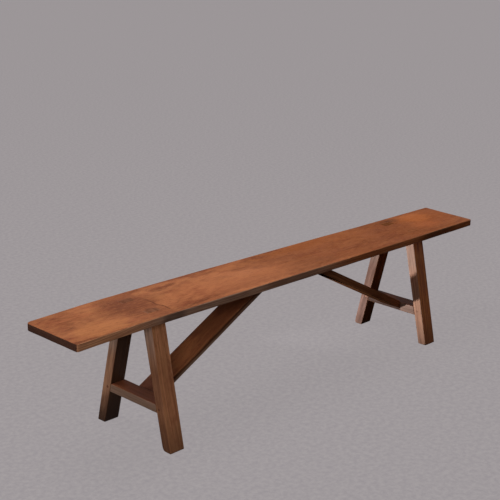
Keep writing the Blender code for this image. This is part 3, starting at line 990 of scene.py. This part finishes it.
# Shades of single faces, by piece: the way that the face looks, a light and a dark shade, how far these cover
# the wood's own, and perhaps an axis with the places where they start, are full, fade and end. Later ones lie
# on top. Most of them are painted light and shade: faces lighter or darker by how light falls on them, painted
# shade under the seat and between the parts, and the brace's painted shadow; the rest is the wood's own tone.
faceShadesAndPaintedLight = {
    "seat": (
        # Front edge: painted light, lighter at the left end, darker to the right; greyer over the front left
        # leg
        (frontward, (186, 150, 128), (142, 108, 90), 0.8),
        (frontward, (160, 116, 94), (124, 88, 70), 0.8, (benchX, -0.24, -0.16, -0.02, 0.08)),
        (frontward, (220, 156, 112), (172, 114, 82), 0.85, (benchX, -0.62, -0.9)),
        (frontward, (184, 104, 52), (142, 75, 36), 0.9, (benchX, -0.05, 0.3)),
        (frontward, (148, 78, 32), (112, 54, 18), 0.9, (benchX, 0.6, 0.8)),
        (frontward, (98, 48, 12), (72, 32, 7), 0.8, (benchX, 0.62, 0.72, 0.82, 0.92)),
        (frontward, (112, 84, 72), (70, 50, 42), 0.8, (benchX, -0.71, -0.67, -0.62, -0.57)),
    ),
    "leg front left": (
        # Left face: painted light, darker at mid height and lighter towards the top
        (leftward, (182, 125, 89), (141, 90, 63), 0.9),
        (leftward, (166, 112, 82), (128, 82, 58), 0.9, (benchZ, 0.12, 0.17, 0.24, 0.30)),
        (leftward, (220, 180, 158), (180, 142, 124), 0.9, (benchZ, 0.24, 0.42)),
    ),
    "leg back left": (
        # Left face: painted light, lighter at the top and darker towards the foot
        (leftward, (204, 152, 118), (158, 110, 86), 0.9),
        (leftward, (182, 132, 102), (140, 96, 74), 0.9, (benchZ, 0.14, 0.06)),
        (leftward, (238, 202, 178), (194, 156, 136), 0.9, (benchZ, 0.24, 0.34)),
        # Inner face: painted shade where it lies under the seat, lighter at its top
        (frontward, (83, 59, 42), (62, 41, 29), 0.95),
        (frontward, (192, 136, 94), (149, 98, 66), 0.95, (benchZ, 0.32, 0.42)),
    ),
    "stretcher left": (
        # Left face paler and greyer, top darker: partly the wood's own tone, partly painted light
        (leftward, (168, 133, 114), (140, 109, 88), 0.95),
        (upward, (154, 88, 62), (127, 73, 46), 0.8),
    ),
    "leg front right": (
        # Left face: paler and greyer, partly the wood's own tone and partly painted light
        (leftward, (172, 129, 106), (136, 99, 80), 0.95),
        (leftward, (160, 127, 110), (126, 98, 83), 0.9, (benchZ, 0.27, 0.33)),
    ),
    "leg back right": (
        # Left face: painted shade, lighter at the foot and towards the top
        (leftward, (109, 84, 75), (81, 62, 55), 0.95),
        (leftward, (134, 104, 94), (102, 79, 71), 0.9, (benchZ, 0.14, 0.09)),
        (leftward, (126, 103, 92), (95, 77, 69), 0.9, (benchZ, 0.26, 0.32)),
        # Inner face: painted shade where it lies under the seat, lighter at its top
        (frontward, (102, 60, 34), (76, 43, 23), 0.95),
        (frontward, (158, 78, 36), (118, 53, 23), 0.95, (benchZ, 0.32, 0.42)),
    ),
    "stretcher right": (
        # Left face: paler, partly painted light
        (leftward, (136, 108, 96), (105, 82, 71), 0.95),
        # Painted shadow of the brace on the left face behind it
        (leftward, (50, 26, 14), (34, 16, 8), 0.95, (benchY, -0.052, -0.042)),
        # Top face darker
        (upward, (100, 62, 44), (70, 40, 28), 0.8),
    ),
    "brace left": (
        # Front face: painted shade, darker again towards the seat
        (frontward, (114, 67, 38), (84, 45, 25), 0.95),
        # A lighter strip along the lower arris: partly wear, partly painted light
        (frontward, (171, 134, 109), (140, 106, 84), 0.9, (boardZ, 0.2015, 0.1955)),
        (frontward, (90, 50, 36), (66, 34, 24), 0.4, (benchX, -0.46, -0.30)),
        # Upper face: painted shade, darker towards the seat and at the foot between the legs
        (leftUpward, (150, 88, 56), (124, 70, 44), 0.45, (benchX, -0.44, -0.36)),
        (leftUpward, (100, 56, 36), (74, 40, 26), 0.35, (benchX, -0.32, -0.22)),
        (leftUpward, (130, 80, 62), (100, 60, 46), 0.95, (benchX, -0.585, -0.605)),
    ),
    "brace right": (
        # Front face: painted shade, darker towards its foot
        (frontward, (156, 99, 66), (118, 69, 44), 0.95),
        (frontward, (134, 83, 54), (100, 57, 36), 0.9, (benchX, 0.42, 0.56)),
        # Lower face: painted shade
        (leftDownward, (60, 36, 22), (40, 22, 12), 0.95),
        # Back face: painted shade that tempers the low lamp's light on it
        (backward, (118, 70, 44), (88, 50, 31), 0.9),
    ),
}
legRise = legCentre(0.0) - legCentre(seatUnderside)


def dressBoard(label, look, place, along):
    dress(pieces[label], wood(f"{label} wood", {**look, **looks[label]}, place, along, faceShadesAndPaintedLight[label]))


origin = (0.0, 0.0, 0.0)
dressBoard("seat", {}, origin, rightward)
for trestleName, trestlePlace in trestles.items():
    x, side, slope = trestlePlace["x"], trestlePlace["side"], braceAngle(trestlePlace)
    legLook = {**everyLeg, "pith": (0.05 * side, 0.07)}
    for legPlace, lean in (("front", legRise), ("back", -legRise)):
        dressBoard(f"leg {legPlace} {trestleName}", legLook, (x + 0.2 * side, 0.3 * lean, 0.1),
                   (0.0, lean, seatUnderside))
    dressBoard(f"stretcher {trestleName}", {"pith": (0.04, 0.05)}, (x, 0.1, 0.1), backward)
    dressBoard(f"brace {trestleName}", {"pith": (0.02, -0.12)}, (0.1 * side, 0.0, 0.2),
               (-side * math.cos(slope), 0.0, math.sin(slope)))

nailIron = iron("nail iron")
for trestleName in trestles:
    wedgeLook = {"pith": (0.01, 0.02), "endGrain": wedgeShades[trestleName]}
    pegLook = {"pith": (0.01, 0.02), "endGrain": pegShades[trestleName]}
    wedgeWood = wood(f"wedge wood {trestleName}", wedgeLook, origin, upward)
    pegWood = wood(f"peg wood {trestleName}", pegLook, origin, rightward)
    for nodeName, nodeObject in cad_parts.items():
        if trestleName not in nodeName.split("_"):
            continue
        if nodeName.startswith("wedge"):
            dress(nodeObject, wedgeWood)
        elif "peg" in nodeName:
            dress(nodeObject, pegWood)
        elif nodeName.startswith("nail"):
            dress(nodeObject, nailIron)
print("materials made:", len(bpy.data.materials))


# Studio: a pale floor, one soft lamp overhead, weaker ones in front, at the left and at the right, and a low
# lamp behind the bench that throws the brace's shadow on the right trestle

studio = {
    "floorLow": paint(154, 148, 151),
    "floorHigh": paint(166, 160, 161),
    "floorShade": (0.05, 0.048, 0.047, 1.0),
    "backdrop": paint(157, 151, 153),
    "floorHalf": 30.0,
    "floorEven": 0.94,
    "floorRoughness": 0.9,
    "specks": ((55.0, 55.0, 55.0), 3.0, 0.7),
    "speckRange": (0.25, 0.75),
    "fill": 0.04,
    "fillShade": (1.0, 0.98, 0.97, 1.0),
}
lamps = {
    "key": {"place": (-1.1, 0.9, 4.2), "aim": (-0.1, 0.0, 0.3), "size": 2.2, "power": 129.0},
    "front": {"place": (-2.4, -1.5, 1.3), "aim": (-0.6, 0.0, 0.25), "size": 1.0, "power": 15.0},
    "left": {"place": (-2.4, 0.3, 0.8), "aim": (-0.6, 0.0, 0.3), "size": 0.8, "power": 3.5},
    "right": {"place": (3.2, -0.5, 1.2), "aim": (0.2, 0.0, 0.25), "size": 1.2, "power": 17.0},
}
lowLamp = {"place": (-0.05, 0.52, 0.12), "aim": (0.68, -0.02, 0.22), "power": 50.0, "radius": 0.03,
           "cone": math.radians(50), "blend": 0.5}


def hang(name, data, place, target):
    lamp = addObject(name, data)
    look = (Vector(target) - Vector(place)).to_track_quat("-Z", "Y")
    lamp.matrix_world = Matrix.Translation(place) @ look.to_matrix().to_4x4()
    lamp.visible_camera = False


def seenStraight(tree):
    # 1 where the camera, a reflection or a view through glass looks
    paths = addNode(tree, "ShaderNodeLightPath").outputs
    seen = sums(tree, "MAXIMUM", paths["Is Camera Ray"], paths["Is Glossy Ray"])
    return sums(tree, "MAXIMUM", seen, paths["Is Transmission Ray"])


def makeStudio():
    world = bpy.data.worlds.new("studio")
    world.use_nodes = True
    bpy.context.scene.world = world
    tree = world.node_tree
    fill = tree.nodes["Background"]
    feed(tree, fill, {"Color": studio["fillShade"], "Strength": studio["fill"]})
    backdrop = addNode(tree, "ShaderNodeBackground", {"Color": studio["backdrop"], "Strength": 1.0})
    values = {0: seenStraight(tree), 1: fill.outputs[0], 2: backdrop.outputs[0]}
    both = addNode(tree, "ShaderNodeMixShader", values)
    tree.links.new(both.outputs[0], tree.nodes["World Output"].inputs["Surface"])

    for name, lamp in lamps.items():
        data = bpy.data.lights.new(name, "AREA")
        data.shape = "DISK"
        data.size = lamp["size"]
        data.energy = lamp["power"]
        hang(name, data, lamp["place"], lamp["aim"])
    low = bpy.data.lights.new("low", "SPOT")
    low.energy = lowLamp["power"]
    low.spot_size = lowLamp["cone"]
    low.spot_blend = lowLamp["blend"]
    low.shadow_soft_size = lowLamp["radius"]
    hang("low", low, lowLamp["place"], lowLamp["aim"])

    bm = bmesh.new()
    bmesh.ops.create_grid(bm, x_segments=1, y_segments=1, size=studio["floorHalf"])
    floor = meshObject("floor", bm)
    dress(floor, floorMaterial())


def floorMaterial():
    # Seen straight or in a reflection the floor is pale and nearly even, with the shadow faint on it.
    # Light that bounces off it finds it dark, so little comes back up under the bench.
    material, tree, shader = newMaterial("floor")
    feed(tree, shader, {"Base Color": studio["floorShade"], "Roughness": studio["floorRoughness"],
                        "Specular IOR Level": 0.0})
    point = addNode(tree, "ShaderNodeTexCoord").outputs["Object"]
    speck = spread(tree, grainNoise(tree, point, *studio["specks"]), *studio["speckRange"])
    tint = blend(tree, speck, studio["floorLow"], studio["floorHigh"])
    lit = addNode(tree, "ShaderNodeBsdfDiffuse", {"Color": tint})
    even = addNode(tree, "ShaderNodeEmission", {"Color": tint, "Strength": 1.0})
    pale = addNode(tree, "ShaderNodeMixShader", {0: studio["floorEven"], 1: lit.outputs[0], 2: even.outputs[0]})
    values = {0: seenStraight(tree), 1: shader.outputs[0], 2: pale.outputs[0]}
    mixed = addNode(tree, "ShaderNodeMixShader", values)
    tree.links.new(mixed.outputs[0], tree.nodes["Material Output"].inputs["Surface"])
    return material


makeStudio()
bpy.context.scene.view_settings.view_transform = "Standard"
print("studio made")
